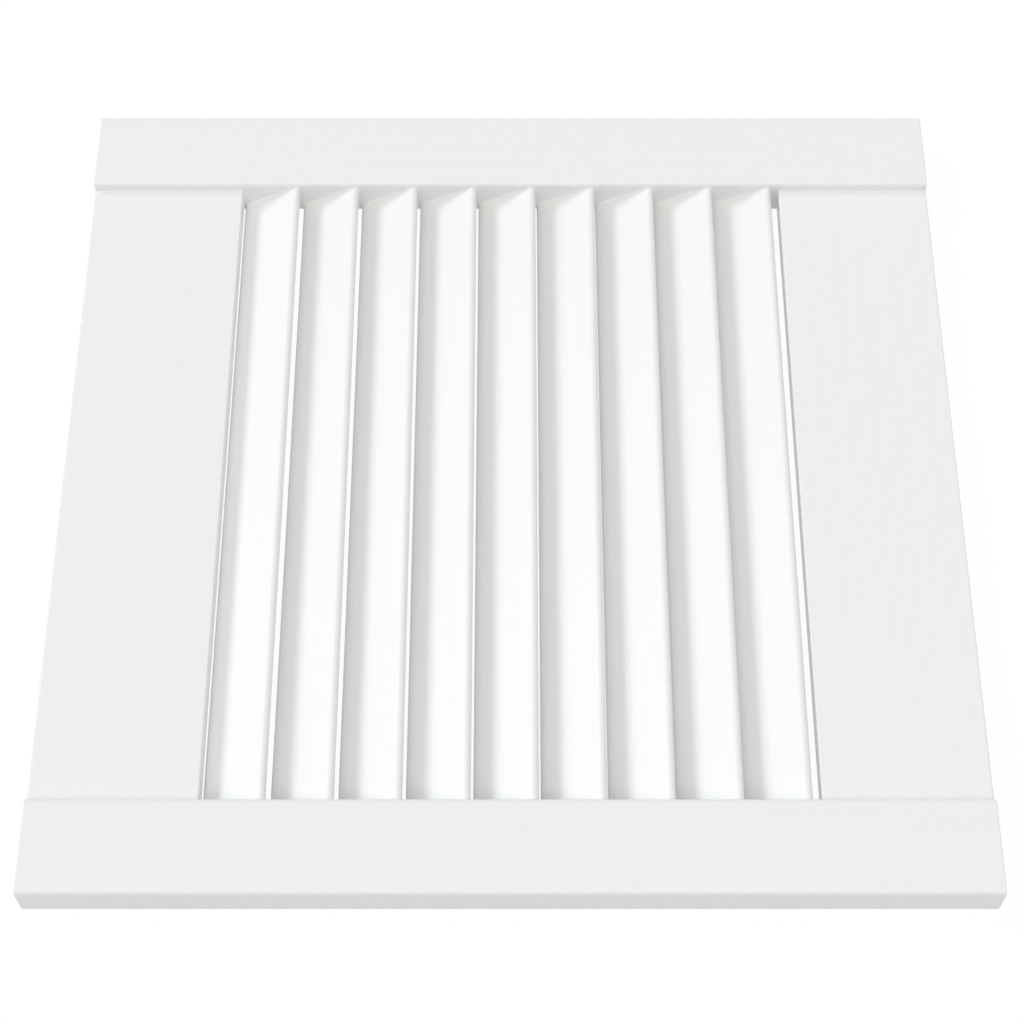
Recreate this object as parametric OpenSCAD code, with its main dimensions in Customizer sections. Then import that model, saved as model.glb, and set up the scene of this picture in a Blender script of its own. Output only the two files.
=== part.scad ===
// Louvred panel: two stiles and two rails frame a bank of fixed, bullnosed louvre slats.
// The panel lies on its back. X runs along the stiles, from the top end to the bottom end.
// Y runs across, from the left stile to the right stile. Z points out of the front face.
// The origin is the centre of the back face. All sizes are in millimetres.

/* [Panel] */
// Length of the panel, along the stiles
panel_len = 395; // [250:1:900]
// Width of the panel, over both stiles
panel_w = 394; // [200:1:900]

/* [Stiles] */
// Width of each stile, seen from the front
stile_w = 41; // [30:1:80]
// Thickness of each stile, which is the panel's own
stile_t = 19; // [16:1:32]
// Radius on the long edges of each stile
stile_edge_r = 2; // [0.5:0.25:4]
// Radius on the one long edge that stays crisp, round the back of the opening
stile_back_r = 0.4; // [0.2:0.1:1.5]
// Radius where each stile's sawn ends are sanded off
stile_end_r = 0.5; // [0.2:0.1:1.5]

/* [Rails] */
// Width of each rail, seen from the front
rail_w = 70.25; // [50:0.25:140]
// Thickness of each rail, centred in the stiles
rail_t = 9.5; // [8.5:0.5:14]
// Radius on the long edges of each rail
rail_edge_r = 0.75; // [0.25:0.25:2]

/* [Louvre slats] */
// Thickness of a slat, whose two long edges are full half rounds
slat_t = 4; // [3:0.5:8]
// Tilt of a slat out of the panel's plane
slat_angle = 28; // [20:1:60]
// Distance from one slat to the next
slat_pitch = 27.9; // [24:0.1:60]
// Depth of a slat's front edge below the stiles' front face
front_setback = 2; // [0.4:0.1:3]
// Height of a slat's back edge above the stiles' back face
back_setback = 0.7; // [0.4:0.1:3]
// Gap between the top rail and the first slat
top_gap = 0.3; // [0.2:0.1:10]

/* [Slat housings] */
// Depth of each slanted housing in a stile
housing_depth = 8; // [4:0.5:14]
// Clearance all round a slat in its housing
housing_clear = 0.1; // [0.05:0.05:0.3]
// Gap between the end of a slat and the bottom of its housing
slat_end_gap = 0.5; // [0.2:0.1:1.5]

/* [Dowels] */
// Diameter of the dowels that join rails to stiles
dowel_d = 6; // [5:0.5:8]
// Length of a dowel, half of it in the rail and half in the stile
dowel_len = 40; // [24:1:60]
// Distance from a rail's long edge to the nearer dowel's axis
dowel_inset = 17; // [8:1:24]
// Glue clearance round a dowel in its bore
dowel_clear = 0.05; // [0.03:0.01:0.15]
// Glue space beyond each end of a dowel
dowel_end_gap = 1; // [0.5:0.25:3]
// Length and depth of the chamfer on each end of a dowel
dowel_chamfer = 0.8; // [0.3:0.1:1.5]
// Number of glue flutes round a dowel
flute_count = 12; // [8:1:20]
// Depth of a glue flute
flute_depth = 0.25; // [0.1:0.05:0.5]

/* [Hidden] */
$fn = 48;
paint = [0.95, 0.955, 0.955];
beech = [0.78, 0.62, 0.43];
// Overlap that lets a cut break cleanly through a face
cut_over = 1;

top = -1;
bottom = 1;
left = -1;
right = 1;
outer = 1;
inner = -1;

// The light between the frame's members
opening_len = panel_len - 2 * rail_w;
opening_w = panel_w - 2 * stile_w;
mid_z = stile_t / 2;

// A slat reaches from one setback to the other, so its width follows from its tilt
slat_rise = stile_t - front_setback - back_setback - slat_t;
slat_mid_z = back_setback + (slat_rise + slat_t) / 2;
slat_w = slat_rise / sin(slat_angle) + slat_t;
slat_plan_w = slat_rise / tan(slat_angle) + slat_t;
slat_len = opening_w + 2 * (housing_depth - slat_end_gap);
first_slat_x = -opening_len / 2 + top_gap + slat_plan_w / 2;
slat_count = 1 + floor((opening_len - 2 * top_gap - slat_plan_w) / slat_pitch);

dowel_bore_len = dowel_len + 2 * dowel_end_gap;
// A flute is cut by a round cutter whose axis lies on the dowel's surface
flute_r = flute_depth;

// ---- Profiles ----

// Centred rectangle whose corners are true quarter rounds
module rounded_rect(w, h, r) {
    square([w - 2 * r, h], center = true);
    square([w, h - 2 * r], center = true);
    for (x = [-1, 1], y = [-1, 1])
        translate([x * (w / 2 - r), y * (h / 2 - r)])
            circle(r = r);
}

// Centred flat bar with both ends fully round: the section of a bullnosed slat
module bullnose(w, t) {
    square([w - t, t], center = true);
    for (side = [-1, 1])
        translate([side * (w - t) / 2, 0])
            circle(d = t);
}

// Extrudes a profile along Y, its own x along X and its own y along Z, centred on the origin
module extrude_y(length) {
    rotate([90, 0, 0])
        linear_extrude(height = length, center = true)
            children();
}

// ---- Louvre slats and their housings ----

// The section of slat i where it stands in the panel, grown all round by a clearance
module slat_solid(i, length, grow = 0) {
    translate([first_slat_x + (i - 1) * slat_pitch, 0, slat_mid_z])
        extrude_y(length)
            rotate(slat_angle)
                bullnose(slat_w + 2 * grow, slat_t + 2 * grow);
}

module slat(i) {
    color(paint)
        slat_solid(i, slat_len);
}

// One row of stopped housings reaches into both stiles, because it is longer than the opening
module slat_housings() {
    for (i = [1:slat_count])
        slat_solid(i, opening_w + 2 * housing_depth, housing_clear);
}

// ---- Dowels and their bores ----

// Puts a dowel or a bore across the joint between a rail and a stile
module at_joint(rail, stile, place) {
    from_rail_centre = rail * place * (rail_w / 2 - dowel_inset);
    translate([rail * (panel_len - rail_w) / 2 + from_rail_centre, stile * opening_w / 2, mid_z])
        rotate([90, 0, 0])
            children();
}

module dowel(rail, stile, place) {
    body_len = dowel_len - 2 * dowel_chamfer;
    tip_r = dowel_d / 2 - dowel_chamfer;
    color(beech)
        at_joint(rail, stile, place)
            difference() {
                union() {
                    cylinder(d = dowel_d, h = body_len, center = true);
                    for (end = [0, 1])
                        mirror([0, 0, end])
                            translate([0, 0, body_len / 2])
                                cylinder(r1 = dowel_d / 2, r2 = tip_r, h = dowel_chamfer);
                }
                for (flute = [1:flute_count])
                    rotate(flute * 360 / flute_count)
                        translate([dowel_d / 2, 0, 0])
                            cylinder(r = flute_r, h = dowel_len + 2 * cut_over, center = true);
            }
}

module dowel_bores() {
    for (rail = [top, bottom], stile = [left, right], place = [outer, inner])
        at_joint(rail, stile, place)
            cylinder(d = dowel_d + 2 * dowel_clear, h = dowel_bore_len, center = true);
}

// ---- Frame ----

// Section of a stile, whose back edge on the opening's side is only just broken
module stile_section(side) {
    rounded_rect(stile_w, stile_t, stile_edge_r);
    translate([-side * stile_w / 4, -stile_t / 4])
        rounded_rect(stile_w / 2, stile_t / 2, stile_back_r);
}

// Bar along X with rounded long edges and lightly sanded ends
module stile_blank(side) {
    intersection() {
        rotate([90, 0, 90])
            linear_extrude(height = panel_len, center = true)
                stile_section(side);
        linear_extrude(height = stile_t, center = true)
            rounded_rect(panel_len, stile_w, stile_end_r);
        extrude_y(stile_w)
            rounded_rect(panel_len, stile_t, stile_end_r);
    }
}

module stile(side) {
    color(paint)
        difference() {
            translate([0, side * (panel_w - stile_w) / 2, mid_z])
                stile_blank(side);
            slat_housings();
            dowel_bores();
        }
}

module left_stile() {
    stile(left);
}

module right_stile() {
    stile(right);
}

// Thinner than the stiles, so its faces lie back from theirs
module rail(end) {
    color(paint)
        difference() {
            translate([end * (panel_len - rail_w) / 2, 0, mid_z])
                extrude_y(opening_w)
                    rounded_rect(rail_w, rail_t, rail_edge_r);
            dowel_bores();
        }
}

module top_rail() {
    rail(top);
}

module bottom_rail() {
    rail(bottom);
}

// ---- The panel ----

left_stile();
right_stile();
top_rail();
bottom_rail();
for (i = [1:slat_count])
    slat(i);
dowel(top, left, outer);  // dowel_top_left_outer
dowel(top, left, inner);  // dowel_top_left_inner
dowel(top, right, outer);  // dowel_top_right_outer
dowel(top, right, inner);  // dowel_top_right_inner
dowel(bottom, left, outer);  // dowel_bottom_left_outer
dowel(bottom, left, inner);  // dowel_bottom_left_inner
dowel(bottom, right, outer);  // dowel_bottom_right_outer
dowel(bottom, right, inner);  // dowel_bottom_right_inner
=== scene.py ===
# %% [markdown]
# # A louvred panel in white paint
#
# This lesson dresses one finished model: a flat wooden panel with nine fixed, slanted slats
# between two stiles and two rails. The woodwork itself is already solid and to size, so Blender's
# work is what a painter does to it: a satin white coat, the beads that paint leaves in every
# corner, and good light.
#
# Everything is in metres. X runs along the stiles, Y across them, and Z out of the panel's front
# face.

# %% Load the woodwork
import math

import bmesh
import bpy
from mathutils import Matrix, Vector, noise


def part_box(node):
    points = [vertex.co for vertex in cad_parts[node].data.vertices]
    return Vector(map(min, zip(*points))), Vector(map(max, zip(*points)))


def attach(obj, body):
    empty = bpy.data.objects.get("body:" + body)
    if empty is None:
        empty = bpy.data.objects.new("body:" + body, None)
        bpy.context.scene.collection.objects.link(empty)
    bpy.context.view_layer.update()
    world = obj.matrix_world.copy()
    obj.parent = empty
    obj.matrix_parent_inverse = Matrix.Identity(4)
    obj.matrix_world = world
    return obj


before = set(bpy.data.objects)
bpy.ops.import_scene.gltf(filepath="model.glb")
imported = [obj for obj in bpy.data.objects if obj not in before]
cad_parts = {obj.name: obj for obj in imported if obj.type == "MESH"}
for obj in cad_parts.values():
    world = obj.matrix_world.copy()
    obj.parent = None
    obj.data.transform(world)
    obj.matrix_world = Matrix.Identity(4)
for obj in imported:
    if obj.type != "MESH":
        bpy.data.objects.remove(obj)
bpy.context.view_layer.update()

# %% [markdown]
# ## Small helpers
#
# Real sizes are easiest to think about in millimetres, so one function turns them into metres, and
# another prints them back. Paint colours are easiest to pick as sRGB hex values, while a shader
# wants linear light, so a third converts them. The last adds any node with its settings and its
# links in one call.

# %% Millimetres, colours and nodes


def mm(length):
    """Millimetres as metres."""
    return length / 1000.0


def in_mm(length):
    """Metres as a text in millimetres."""
    return f"{length * 1000:.3g} mm"


def linear(hex_colour):
    """An sRGB hex colour as linear RGBA."""
    channels = [int(hex_colour[i : i + 2], 16) / 255 for i in (1, 3, 5)]
    curve = [c / 12.92 if c <= 0.04045 else ((c + 0.055) / 1.055) ** 2.4 for c in channels]
    return (*curve, 1.0)


def add(tree, kind, settings=None, **links):
    """Adds a node. Settings name its properties. Links name its sockets, or count them as in _0.

    A link's value is a plain value or the output of another node.
    """
    node = tree.nodes.new(kind)
    for key, value in (settings or {}).items():
        setattr(node, key, value)
    for key, value in links.items():
        socket = node.inputs[int(key[1:])] if key[0] == "_" else node.inputs[key.replace("_", " ")]
        if isinstance(value, bpy.types.NodeSocket):
            tree.links.new(value, socket)
        else:
            socket.default_value = value
    return node


grey = linear("#808080")[0]
print(in_mm(mm(5)), "is", mm(5), "m, and #808080 sends back", round(grey, 3), "of the light")

# %% [markdown]
# ## The camera
#
# The panel lies on its back and is seen from beyond its left stile, from well above. A long lens
# from a metre away keeps the far stile only a little smaller than the near one. The camera looks
# along +Y and down by about 60 degrees, without any sideways turn.

# %% Place the camera
CAMERA_AT = (0.0007, -0.5114, 0.8782)
LOOKS_DOWN = math.radians(60.36)
FOCAL_LENGTH_MM = 79.9

camera_data = bpy.data.cameras.new("camera")
camera_data.lens = FOCAL_LENGTH_MM
camera = bpy.data.objects.new("camera", camera_data)
camera.location = CAMERA_AT
camera.rotation_euler = (math.pi / 2 - LOOKS_DOWN, 0, 0)
bpy.context.scene.collection.objects.link(camera)
bpy.context.scene.camera = camera
bpy.context.scene.view_settings.view_transform = "Standard"
print("camera is", round(Vector(CAMERA_AT).length, 3), "m from the panel's centre")

# %% [markdown]
# ## The light
#
# White on white only reads through its shading, so the light has to come from one clear side. A
# window stands low over the top end of the panel and a little behind it. It catches the slats,
# which lean towards it, and each slat keeps it from the foot of the next, which leaves a grey
# strip with a soft edge. A wide, diffuse light stands for the near wall of a white room, and a
# white sky for the rest of it: they fill those strips and keep the rounded edges from going dark.
# Together they light a level surface at nearly full strength, so a paint shows at its own colour.
# Daylight is a little cool, and the near wall gives back a little warmth, so the lit faces lean
# to blue and the shaded ones to yellow.
#
# A sun lamp with a wide angle is the simplest model of a far window: the wider the angle, the
# softer the edge of its shade.

# %% Window, room and sky


def from_angles(azimuth, elevation):
    """The direction at an azimuth, counted from +X towards +Y, and an elevation, in degrees."""
    turn, rise = math.radians(azimuth), math.radians(elevation)
    across = math.cos(rise)
    return Vector((math.cos(turn) * across, math.sin(turn) * across, math.sin(rise)))


def hang_lamp(name, azimuth, elevation, width, strength, tint):
    """A sun lamp this many degrees wide, which lights a surface that faces it at this strength.

    Returns how much of that strength a level surface gets.
    """
    lamp_data = bpy.data.lights.new(name, "SUN")
    lamp_data.angle = math.radians(width)
    lamp_data.energy = math.pi * strength
    lamp_data.color = linear(tint)[:3]
    lamp = bpy.data.objects.new(name, lamp_data)
    toward = from_angles(azimuth, elevation)
    lamp.rotation_euler = toward.to_track_quat("Z", "Y").to_euler()
    bpy.context.scene.collection.objects.link(lamp)
    return strength * toward.z


SKY_LEVEL = 0.515
SKY_LIGHT = "#F6FDFF"
DAYLIGHT = "#F6F8FF"
WARM_WALL = "#FFF4EB"
level_light = SKY_LEVEL
level_light += hang_lamp(
    "window", azimuth=153, elevation=33, width=22, strength=0.298, tint=DAYLIGHT
)
level_light += hang_lamp(
    "near_wall", azimuth=270, elevation=66, width=54, strength=0.352, tint=WARM_WALL
)
print("a level surface gets", round(level_light, 3), "of full strength")

# %% [markdown]
# The sky has to light the panel at one level and look plain white behind it. The Light Path node
# tells the two apart: it knows whether a ray comes from the camera, from a mirror or from a lit
# surface.

# %% A sky that lights at one level and shows as white
world = bpy.data.worlds.new("studio")
bpy.context.scene.world = world
world.use_nodes = True
world.node_tree.nodes.clear()


def seen_directly(tree):
    """1 for rays from the camera and for rays that reach a surface by a mirror or through glass."""
    path = add(tree, "ShaderNodeLightPath")
    glossy = add(
        tree,
        "ShaderNodeMath",
        {"operation": "MAXIMUM"},
        _0=path.outputs["Is Camera Ray"],
        _1=path.outputs["Is Glossy Ray"],
    )
    seen = add(
        tree,
        "ShaderNodeMath",
        {"operation": "MAXIMUM"},
        _0=glossy.outputs[0],
        _1=path.outputs["Is Transmission Ray"],
    )
    return seen.outputs[0]


WHITE = (1, 1, 1, 1)
sky = add(
    world.node_tree, "ShaderNodeBackground", Color=linear(SKY_LIGHT), Strength=SKY_LEVEL
)
backdrop = add(world.node_tree, "ShaderNodeBackground", Color=WHITE, Strength=1.0)
sky_mix = add(
    world.node_tree,
    "ShaderNodeMixShader",
    Fac=seen_directly(world.node_tree),
    _1=sky.outputs[0],
    _2=backdrop.outputs[0],
)
add(world.node_tree, "ShaderNodeOutputWorld", Surface=sky_mix.outputs[0])
print("the sky lights at", SKY_LEVEL, "and shows as white")

# %% [markdown]
# ## The floor
#
# The panel lies on a white translucent sheet that is lit from below a little, as on a light
# table, and that has no edge in view. To the camera most of the sheet's white comes from a glow
# of its own, and the rest is paper that takes the panel's shadow, so the sheet stays white and
# the shadow stays faint. To the light the sheet sends back nearly as much as white paper does, a
# third of it by its own glow, so the air ways between the slats stay light right down to the
# sheet. It lies a hair below the stiles, because two surfaces in one plane would flicker.

# %% White sheet on the floor
SHEET_SIZE = 6.0
SHEET_BELOW = mm(0.1)
# What the sheet gives the light: a glow, and what its paper sends back
SHEET_LIT = 0.24
SHEET_BOUNCE = "#B2B2B2"
# What it shows the camera: a glow, and a little paper to take the shadow
SHEET_GLOW = 0.94
SHEET_PAPER = 0.07

sheet_material = bpy.data.materials.new("white paper")
sheet_material.use_nodes = True
tree = sheet_material.node_tree
tree.nodes.clear()
paper = add(tree, "ShaderNodeBsdfDiffuse", Color=linear(SHEET_BOUNCE))
from_below = add(tree, "ShaderNodeEmission", Color=WHITE, Strength=SHEET_LIT)
lit_paper = add(tree, "ShaderNodeAddShader", _0=paper.outputs[0], _1=from_below.outputs[0])
faint_paper = add(tree, "ShaderNodeBsdfDiffuse", Color=(SHEET_PAPER, SHEET_PAPER, SHEET_PAPER, 1))
glow = add(tree, "ShaderNodeEmission", Color=WHITE, Strength=SHEET_GLOW)
glowing_paper = add(tree, "ShaderNodeAddShader", _0=faint_paper.outputs[0], _1=glow.outputs[0])
sheet_mix = add(
    tree,
    "ShaderNodeMixShader",
    Fac=seen_directly(tree),
    _1=lit_paper.outputs[0],
    _2=glowing_paper.outputs[0],
)
add(tree, "ShaderNodeOutputMaterial", Surface=sheet_mix.outputs[0])

half = SHEET_SIZE / 2
sheet_mesh = bpy.data.meshes.new("floor")
sheet_mesh.from_pydata(
    [(-half, -half, 0), (half, -half, 0), (half, half, 0), (-half, half, 0)], [], [(0, 1, 2, 3)]
)
sheet_mesh.materials.append(sheet_material)
floor = bpy.data.objects.new("floor", sheet_mesh)
floor.location.z = -SHEET_BELOW
bpy.context.scene.collection.objects.link(floor)
print("the sheet is", SHEET_SIZE, "m wide and lies", in_mm(SHEET_BELOW), "under the panel")

# %% [markdown]
# ## White satin paint on pine
#
# The real finish is a white acrylic lacquer, sprayed on planed pine and rubbed down between
# coats. It hides the wood's colour but not all of its shape. The pine's yearly rings stand up a
# hundredth of a millimetre, because late wood is harder than early wood and planes differently.
# Fine fibres run along the grain. The spray itself dries with a faint pebble, called orange peel.
#
# A board is a slice of a trunk, so one solid pattern gives every face its right figure: rings
# about a pith line that runs along the board but lies outside it. It makes long streaks on the
# faces and arcs on the sawn ends. Wood soaks up more paint where it is cut across, so the ends
# are also duller.
#
# To the eye all this is a calm white with a soft, wide sheen, in which the grain only shows where
# light grazes it. Acrylic bends light by 1.5, and satin paint has a roughness of about 0.4.

# %% The spray coat
PAINT = "#F3F4F4"
PAINT_THIN = "#F1F2F2"
PAINT_IOR = 1.5
PAINT_ROUGHNESS = 0.42
END_ROUGHNESS = 0.6
PEEL_WIDTH = mm(1.4)
PEEL_RELIEF = mm(0.01)


def per_metre(width):
    """The scale of a pattern whose cells are this wide."""
    return 1.0 / width


def orange_peel(tree, place, wood=None):
    """The pebble of dried spray, over the relief of the wood where there is any."""
    peel = add(
        tree,
        "ShaderNodeTexNoise",
        Vector=place.outputs["Object"],
        Scale=per_metre(PEEL_WIDTH),
        Detail=1.0,
    )
    relief = add(
        tree, "ShaderNodeBump", Height=peel.outputs["Fac"], Distance=PEEL_RELIEF, Strength=1.0
    )
    if wood is not None:
        tree.links.new(wood, relief.inputs["Normal"])
    return peel.outputs["Fac"], relief.outputs[0]


print("the pebble is", in_mm(PEEL_WIDTH), "wide and", in_mm(PEEL_RELIEF), "high")

# %% [markdown]
# The rings are Blender's ring pattern about the X axis, bent by a slow noise because growth is
# uneven. The fibres are a fine noise, stretched along the grain. Real pine fibres are a few
# hundredths of a millimetre wide, which is too fine to show, so they are drawn as bundles of half
# a millimetre.

# %% The relief of planed pine
RING_WIDTH = mm(4.5)
RING_WANDER = mm(9)
FIBRE_WIDTH = mm(0.5)
FIBRE_STRETCH = 30
FIBRE_SHARE = 0.55
WOOD_RELIEF = mm(0.011)


def pine_grain(tree, board):
    """Height of the wood from its rings and fibres, in a space whose X runs along the grain."""
    fibre_space = add(
        tree,
        "ShaderNodeMapping",
        {"vector_type": "POINT"},
        Vector=board,
        Scale=(1 / FIBRE_STRETCH, 1, 1),
    )
    wander = add(
        tree,
        "ShaderNodeTexNoise",
        Vector=fibre_space.outputs[0],
        Scale=per_metre(RING_WANDER),
        Detail=2.0,
    )
    bend = add(
        tree,
        "ShaderNodeVectorMath",
        {"operation": "SCALE"},
        _0=wander.outputs["Color"],
        Scale=RING_WANDER,
    )
    bent = add(
        tree, "ShaderNodeVectorMath", {"operation": "ADD"}, _0=board, _1=bend.outputs[0]
    )
    # Blender's ring pattern passes one ring every 2 pi / 20 of its own units
    rings = add(
        tree,
        "ShaderNodeTexWave",
        {"wave_type": "RINGS", "rings_direction": "X", "wave_profile": "SAW"},
        Vector=bent.outputs[0],
        Scale=math.pi / 10 * per_metre(RING_WIDTH),
    )
    fibres = add(
        tree,
        "ShaderNodeTexNoise",
        Vector=fibre_space.outputs[0],
        Scale=per_metre(FIBRE_WIDTH),
        Detail=3.0,
        Roughness=0.6,
    )
    grain = add(
        tree,
        "ShaderNodeMix",
        {"data_type": "FLOAT"},
        Factor=FIBRE_SHARE,
        _2=rings.outputs["Fac"],
        _3=fibres.outputs["Fac"],
    )
    return grain.outputs[0]


print("rings are", in_mm(RING_WIDTH), "apart, and the wood's relief is", in_mm(WOOD_RELIEF))

# %% [markdown]
# One function now builds the whole finish for a board. It turns the pattern so that X runs along
# the grain, and moves the board off the pith line, because boards are sawn from beside it. No
# board is sawn quite along its trunk, so the pattern also leans by about a degree, and its
# streaks run out slowly.

# %% Satin paint over pine
BOARD_LEANS = (0.012, 0.02)
END_FACES_FROM = 0.8


def painted_pine(name, turn, off_pith):
    """White satin paint on a board whose grain runs along X once turned, moved off its pith."""
    material = bpy.data.materials.new(name)
    material.use_nodes = True
    tree = material.node_tree
    tree.nodes.clear()
    place = add(tree, "ShaderNodeTexCoord")
    board = add(
        tree,
        "ShaderNodeMapping",
        {"vector_type": "POINT"},
        Vector=place.outputs["Object"],
        Location=off_pith,
        Rotation=(*BOARD_LEANS, turn),
    )
    grain = pine_grain(tree, board.outputs[0])
    wood_relief = add(
        tree, "ShaderNodeBump", Height=grain, Distance=WOOD_RELIEF, Strength=1.0
    )
    _, relief = orange_peel(tree, place, wood_relief.outputs[0])
    # The coat is a shade thinner, and greyer, over the hard ridges
    coat = add(
        tree,
        "ShaderNodeMix",
        {"data_type": "RGBA"},
        _0=grain,
        _6=linear(PAINT),
        _7=linear(PAINT_THIN),
    )
    # 1 on the sawn ends, where the surface faces along the grain
    along = add(tree, "ShaderNodeSeparateXYZ", Vector=place.outputs["Normal"])
    facing = along.outputs["X"] if turn == 0 else along.outputs["Y"]
    facing = add(tree, "ShaderNodeMath", {"operation": "ABSOLUTE"}, _0=facing).outputs[0]
    sheen = add(
        tree,
        "ShaderNodeMapRange",
        Value=facing,
        From_Min=END_FACES_FROM,
        From_Max=1.0,
        To_Min=PAINT_ROUGHNESS,
        To_Max=END_ROUGHNESS,
    )
    shader = add(
        tree,
        "ShaderNodeBsdfPrincipled",
        Base_Color=coat.outputs[2],
        Roughness=sheen.outputs[0],
        IOR=PAINT_IOR,
        Normal=relief,
    )
    add(tree, "ShaderNodeOutputMaterial", Surface=shader.outputs[0])
    print(name, "has", len(tree.nodes), "nodes")
    return material


# %% [markdown]
# ## Which way the grain runs
#
# A joiner always lays the grain along the length of a board, where wood is strong and hardly
# moves. So it runs along X on the stiles, and along Y on the rails and the slats. Each kind is
# sawn from a board of its own, so each lies at its own distance from the pith.

# %% Paint the frame and the slats
ALONG_X = 0.0
ALONG_Y = math.pi / 2
STILE_OFF_PITH = (0.0, mm(140), mm(55))
RAIL_OFF_PITH = (0.0, mm(20), mm(70))
SLAT_OFF_PITH = (0.0, mm(35), mm(120))
stile_paint = painted_pine("white satin paint on pine, stiles", ALONG_X, STILE_OFF_PITH)
rail_paint = painted_pine("white satin paint on pine, rails", ALONG_Y, RAIL_OFF_PITH)
slat_paint = painted_pine("white satin paint on pine, slats", ALONG_Y, SLAT_OFF_PITH)

SLATS = sorted(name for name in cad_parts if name.startswith("slat_"))
RAILS = ["top_rail", "bottom_rail"]
STILES = ["left_stile", "right_stile"]


def dress(names, material):
    """Gives each named piece of the woodwork one material."""
    for name in names:
        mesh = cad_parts[name].data
        mesh.materials.clear()
        mesh.materials.append(material)
    print(material.name, "on", len(names), "pieces")


dress(STILES, stile_paint)
dress(RAILS, rail_paint)
dress(SLATS, slat_paint)

# %% [markdown]
# ## Beech dowels
#
# The rails are pegged to the stiles with fluted dowels, which nobody sees once the panel is
# glued. They are bare, turned beech: pale and pinkish, with short darker flecks a few millimetres
# long that every beech board shows, and fibres along the peg. Both are one noise stretched along
# the peg's axis. Bare turned wood is dull, with a roughness of about 0.6.

# %% Beech
BEECH = "#D8B388"
BEECH_FLECK = "#A97B4F"
BEECH_ROUGHNESS = 0.6
BEECH_IOR = 1.5
FLECK_WIDTH = mm(0.35)
FLECK_STRETCH = 8
FLECK_STARTS = 0.48
FLECK_DEEPEST = 0.7
BEECH_RELIEF = mm(0.02)

beech = bpy.data.materials.new("bare beech")
beech.use_nodes = True
tree = beech.node_tree
tree.nodes.clear()
place = add(tree, "ShaderNodeTexCoord")
peg_space = add(
    tree,
    "ShaderNodeMapping",
    {"vector_type": "POINT"},
    Vector=place.outputs["Object"],
    Scale=(1, 1 / FLECK_STRETCH, 1),
)
flecks = add(
    tree,
    "ShaderNodeTexNoise",
    Vector=peg_space.outputs[0],
    Scale=per_metre(FLECK_WIDTH),
    Detail=2.0,
)
# Only the deepest of the noise becomes a fleck, and the rest stays pale
depth = add(
    tree,
    "ShaderNodeMapRange",
    Value=flecks.outputs["Fac"],
    From_Min=FLECK_STARTS,
    From_Max=FLECK_DEEPEST,
)
wood_colour = add(
    tree,
    "ShaderNodeMix",
    {"data_type": "RGBA"},
    _0=depth.outputs[0],
    _6=linear(BEECH),
    _7=linear(BEECH_FLECK),
)
pores = add(
    tree, "ShaderNodeBump", {"invert": True}, Height=depth.outputs[0], Distance=BEECH_RELIEF
)
shader = add(
    tree,
    "ShaderNodeBsdfPrincipled",
    Base_Color=wood_colour.outputs[2],
    Roughness=BEECH_ROUGHNESS,
    IOR=BEECH_IOR,
    Normal=pores.outputs[0],
)
add(tree, "ShaderNodeOutputMaterial", Surface=shader.outputs[0])
dress(sorted(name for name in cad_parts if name.startswith("dowel_")), beech)

# %% [markdown]
# ## The bead of paint in every corner
#
# Paint draws itself into an inside corner. Where a slat enters a stile, and where a rail butts
# against it, the spray leaves a little hollow bead about half a millimetre across, which closes
# the joint and rounds the corner. A bevel can't make it, because the corner is between two
# pieces. So it is built as what it is: a hollow quarter round, swept along the line where the two
# pieces meet.
#
# The path of the sweep is the outline of the piece that ends at the stile. Each point of the
# outline also knows which way is outward. The bead starts on the piece, curves out, and ends on
# the stile. Its hidden corner is sunk a little into both, so that no light gets in behind it.

# %% The section of a bead, swept along a path
BEAD = mm(0.5)
BEAD_SUNK = mm(0.08)
BEAD_UNEVEN = 0.2
BEAD_WAVE = mm(7)
BEAD_STEPS = 5
STILE_FRONT_ROUND = mm(2)
STILE_BACK_ROUND = mm(0.4)
STILE_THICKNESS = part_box("left_stile")[1].z


def stile_falls_back(z):
    """How far the stile's inner face has curved away at a height, near its rounded edges."""
    over = max(z - (STILE_THICKNESS - STILE_FRONT_ROUND), 0.0)
    under = max(STILE_BACK_ROUND - z, 0.0)
    front = STILE_FRONT_ROUND - math.sqrt(max(STILE_FRONT_ROUND**2 - over**2, 0.0))
    back = STILE_BACK_ROUND - math.sqrt(max(STILE_BACK_ROUND**2 - under**2, 0.0))
    return front + back


def bead_section(width):
    """Points of the bead's section, as (outward, off the stile), with the hollow face first."""
    quarter = [i * math.pi / 2 / BEAD_STEPS for i in range(BEAD_STEPS + 1)]
    hollow = [(width * (1 - math.cos(a)), width * (1 - math.sin(a))) for a in quarter]
    return [*hollow, (width, -BEAD_SUNK), (-BEAD_SUNK, -BEAD_SUNK), (-BEAD_SUNK, width)]


def sweep_bead(mesh_edit, path, wall_y, closed):
    """Adds one bead along a path of (x, z, outward x, outward z, share of the full width).

    Returns how many sections it has.
    """
    into_stile = 1.0 if wall_y > 0 else -1.0
    loops = []
    for x, z, out_x, out_z, share in path:
        wave = noise.noise(Vector((x, wall_y, z)) / BEAD_WAVE)
        width = BEAD * share * (1.0 + BEAD_UNEVEN * wave)
        loop = []
        for outward, off in bead_section(width):
            at_z = z + out_z * outward
            at_y = wall_y + into_stile * (stile_falls_back(at_z) - off)
            loop.append(mesh_edit.verts.new((x + out_x * outward, at_y, at_z)))
        loops.append(loop)
    pairs = list(zip(loops, loops[1:] + loops[:1])) if closed else list(zip(loops, loops[1:]))
    for this, following in pairs:
        for i in range(len(this)):
            j = (i + 1) % len(this)
            mesh_edit.faces.new((this[i], this[j], following[j], following[i]))
    if not closed:
        mesh_edit.faces.new(loops[0])
        mesh_edit.faces.new(loops[-1])
    return len(loops)


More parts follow.
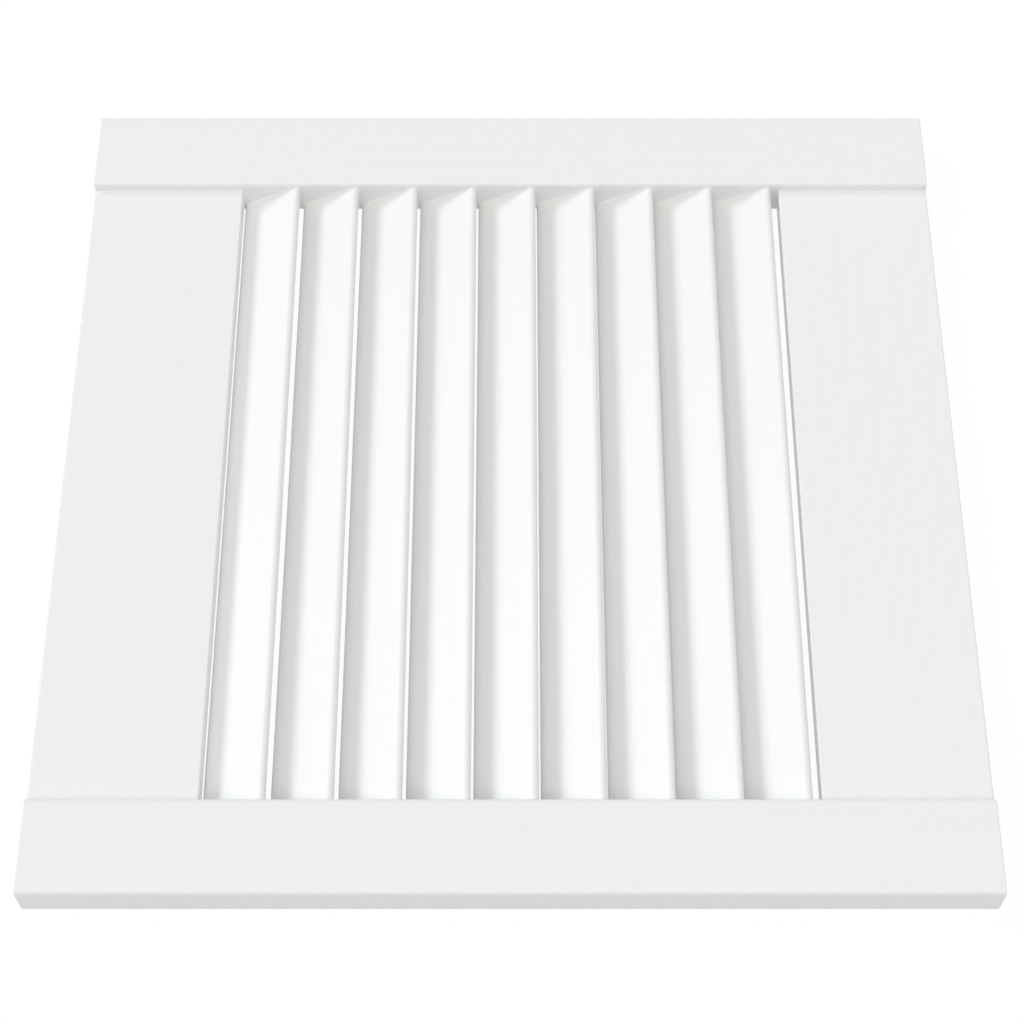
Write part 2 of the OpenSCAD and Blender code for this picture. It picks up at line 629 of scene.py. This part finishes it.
print("a bead is", in_mm(BEAD), "wide, with", len(bead_section(BEAD)), "points to a section")

# %% [markdown]
# A slat's outline is a long flat shape with a half round at each end, so its path runs up one
# face, round the nose, back down the other face and round the foot. A rail's path starts at the
# panel's end, runs along the front face, over the inner edge and back along the other face. There
# the bead thins out before the panel's end, where the joint was sanded flush.

# %% The outlines that the beads follow
SLAT_THICKNESS = mm(4)
RAIL_EDGE_ROUND = mm(0.75)
ARC_STEPS = 10
STRAIGHT_STEPS = 14
BEAD_FADES_OVER = mm(9)
BEAD_THINNEST = 0.05


def arc(centre_x, centre_z, radius, start, stop):
    """Points of an arc, with the directions out of it. Angles are radians, from +X to +Z."""
    for i in range(ARC_STEPS + 1):
        angle = start + (stop - start) * i / ARC_STEPS
        out_x, out_z = math.cos(angle), math.sin(angle)
        yield centre_x + radius * out_x, centre_z + radius * out_z, out_x, out_z


def straight(start, stop):
    """Points strictly between two outline points that share one outward direction."""
    for i in range(1, STRAIGHT_STEPS):
        t = i / STRAIGHT_STEPS
        yield start[0] + (stop[0] - start[0]) * t, start[1] + (stop[1] - start[1]) * t, *start[2:]


def slat_outline(name):
    """The outline of a slat, from the corners of its box."""
    low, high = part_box(name)
    radius = SLAT_THICKNESS / 2
    foot = (low.x + radius, low.z + radius)
    nose = (high.x - radius, high.z - radius)
    tilt = math.atan2(nose[1] - foot[1], nose[0] - foot[0])
    front, back = tilt + math.pi / 2, tilt - math.pi / 2
    over_nose = list(arc(*nose, radius, front, back))
    round_foot = list(arc(*foot, radius, back, back - math.pi))
    down = list(straight(over_nose[-1], round_foot[0]))
    up = list(straight(round_foot[-1], over_nose[0]))
    return [(*point, 1.0) for point in over_nose + down + round_foot + up]


def rail_outline(name):
    """The outline of a rail, from the panel's end over the inner edge and back."""
    low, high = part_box(name)
    is_top = low.x < 0
    end_x, inner_x = (low.x, high.x) if is_top else (high.x, low.x)
    inward = 1.0 if is_top else -1.0
    radius = RAIL_EDGE_ROUND
    arc_x = inner_x - inward * radius
    turn_front = list(arc(arc_x, high.z - radius, radius, math.pi / 2, (1 - inward) * math.pi / 2))
    turn_back = [(x, low.z + high.z - z, out_x, -out_z) for x, z, out_x, out_z in turn_front][::-1]
    start = (end_x + inward * radius, high.z, 0.0, 1.0)
    stop = (start[0], low.z, 0.0, -1.0)
    outline = [
        start,
        *straight(start, turn_front[0]),
        *turn_front,
        *turn_back,
        *straight(turn_back[-1], stop),
        stop,
    ]
    path = []
    for x, z, out_x, out_z in outline:
        from_end = min(abs(x - end_x) / BEAD_FADES_OVER, 1.0)
        share = BEAD_THINNEST + (1 - BEAD_THINNEST) * from_end
        path.append((x, z, out_x, out_z, share))
    return path


print(
    "a slat's path has",
    len(slat_outline(SLATS[0])),
    "points, and a rail's",
    len(rail_outline(RAILS[0])),
)

# %% [markdown]
# ## The paint of the beads
#
# A bead is the same white satin paint, only thicker, with no wood under it to show through. So it
# is smooth but for the pebble of the spray, and it has the same colour and sheen as the boards it
# joins.

# %% White satin paint, thick
bead_paint = bpy.data.materials.new("white satin paint, thick")
bead_paint.use_nodes = True
tree = bead_paint.node_tree
tree.nodes.clear()
place = add(tree, "ShaderNodeTexCoord")
pebble, relief = orange_peel(tree, place)
coat = add(
    tree,
    "ShaderNodeMix",
    {"data_type": "RGBA"},
    _0=pebble,
    _6=linear(PAINT),
    _7=linear(PAINT_THIN),
)
shader = add(
    tree,
    "ShaderNodeBsdfPrincipled",
    Base_Color=coat.outputs[2],
    Roughness=PAINT_ROUGHNESS,
    IOR=PAINT_IOR,
    Normal=relief,
)
add(tree, "ShaderNodeOutputMaterial", Surface=shader.outputs[0])
print(bead_paint.name, "has", len(tree.nodes), "nodes")

# %% [markdown]
# ## Beads on both stiles
#
# All the beads along one stile come from one coat, so they are made as one piece, in a bmesh,
# which is Blender's way to build a mesh vertex by vertex. Smooth shading makes the hollow face
# read as round, and any edge sharper than the crease angle stays crisp.

# %% One piece of beads along each stile
BEAD_CREASE = math.radians(40)

for stile in STILES:
    low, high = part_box(stile)
    wall_y = high.y if high.y < 0 else low.y
    mesh_edit = bmesh.new()
    sections = 0
    for slat in SLATS:
        sections += sweep_bead(mesh_edit, slat_outline(slat), wall_y, closed=True)
    for rail in RAILS:
        sections += sweep_bead(mesh_edit, rail_outline(rail), wall_y, closed=False)
    bmesh.ops.recalc_face_normals(mesh_edit, faces=mesh_edit.faces)
    bead_mesh = bpy.data.meshes.new(f"paint_beads_{stile}")
    mesh_edit.to_mesh(bead_mesh)
    mesh_edit.free()
    bead_mesh.shade_smooth()
    bead_mesh.set_sharp_from_angle(angle=BEAD_CREASE)
    bead_mesh.materials.append(bead_paint)
    beads = bpy.data.objects.new(f"paint_beads_{stile}", bead_mesh)
    bpy.context.scene.collection.objects.link(beads)
    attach(beads, "root")
    print(beads.name, "has", len(bead_mesh.polygons), "faces from", sections, "sections")
